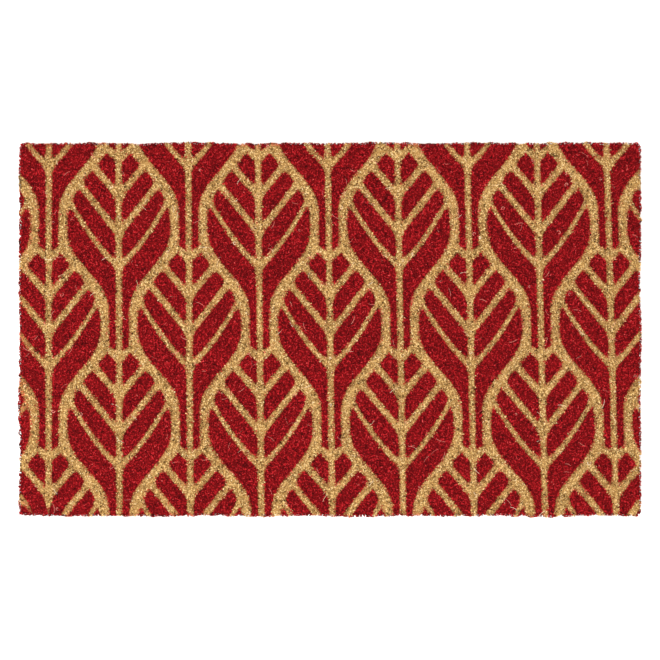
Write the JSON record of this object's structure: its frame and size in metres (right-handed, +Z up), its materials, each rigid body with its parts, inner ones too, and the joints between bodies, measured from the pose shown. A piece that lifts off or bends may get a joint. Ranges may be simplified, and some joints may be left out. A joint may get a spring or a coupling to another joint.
{
  "type": "door mat",
  "caption": "Rectangular hand-woven coir door mat: sheared upright pile gripped by a yarn weave, with a sewn plaited edging and a stencilled lattice of leaves in red on natural coir.",
  "frame": {"origin": "centre of the underside, on the plane that the mat rests on", "axes": "+X along the long side, +Y along the short side towards the tips of the leaves, +Z up through the pile"},
  "size_m": [0.762, 0.457, 0.019],
  "materials": {
    "pile": "coarse sheared coir, natural straw colour, stencilled deep red on the tips",
    "chain_yarn": "twisted two-ply coir yarn",
    "weft_yarn": "twisted two-ply coir yarn",
    "edging": "plaited coir yarn",
    "sewing_yarn": "flattened coir sewing yarn"
  },
  "bodies": {
    "root": {"lower_chain_yarns": "chain_yarn", "weft_yarn": "weft_yarn", "upper_chain_yarns": "chain_yarn", "pile_row_01": "pile", "pile_row_02": "pile", "pile_row_03": "pile", "pile_row_04": "pile", "pile_row_05": "pile", "pile_row_06": "pile", "pile_row_07": "pile", "pile_row_08": "pile", "pile_row_09": "pile", "pile_row_10": "pile", "pile_row_11": "pile", "pile_row_12": "pile", "pile_row_13": "pile", "pile_row_14": "pile", "pile_row_15": "pile", "pile_row_16": "pile", "pile_row_17": "pile", "pile_row_18": "pile", "pile_row_19": "pile", "pile_row_20": "pile", "pile_row_21": "pile", "pile_row_22": "pile", "pile_row_23": "pile", "pile_row_24": "pile", "pile_row_25": "pile", "pile_row_26": "pile", "pile_row_27": "pile", "pile_row_28": "pile", "pile_row_29": "pile", "pile_row_30": "pile", "pile_row_31": "pile", "pile_row_32": "pile", "pile_row_33": "pile", "pile_row_34": "pile", "pile_row_35": "pile", "pile_row_36": "pile", "pile_row_37": "pile", "pile_row_38": "pile", "pile_row_39": "pile", "pile_row_40": "pile", "pile_row_41": "pile", "pile_row_42": "pile", "pile_row_43": "pile", "pile_row_44": "pile", "pile_row_45": "pile", "pile_row_46": "pile", "pile_row_47": "pile", "pile_row_48": "pile", "pile_row_49": "pile", "pile_row_50": "pile", "front_braid": "edging", "back_braid": "edging", "left_braid": "edging", "right_braid": "edging", "edge_stitches": "sewing_yarn"}
  },
  "joints": []
}
